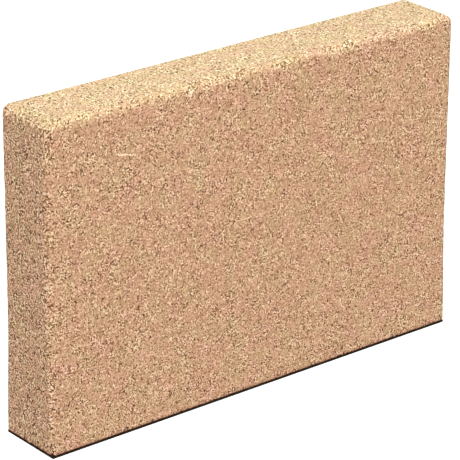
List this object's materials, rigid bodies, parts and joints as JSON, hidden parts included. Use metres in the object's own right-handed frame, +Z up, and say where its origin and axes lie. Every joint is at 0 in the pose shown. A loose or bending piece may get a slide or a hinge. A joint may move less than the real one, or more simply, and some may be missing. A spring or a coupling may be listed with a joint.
{
  "type": "sanding block",
  "caption": "Rectangular agglomerated-cork block with softened edges, wrapped in abrasive sheet to sand flat surfaces by hand.",
  "frame": {"origin": "middle of the long narrow side that the block stands on", "axes": "+X along the length, +Y through the thickness from one sole to the other, +Z up, across the width of the soles"},
  "size_m": [0.12, 0.018, 0.08],
  "materials": {
    "cork": "matte, fine-grain agglomerated cork, sanded and unsealed"
  },
  "bodies": {
    "root": {"cork_block": "cork"}
  },
  "joints": []
}
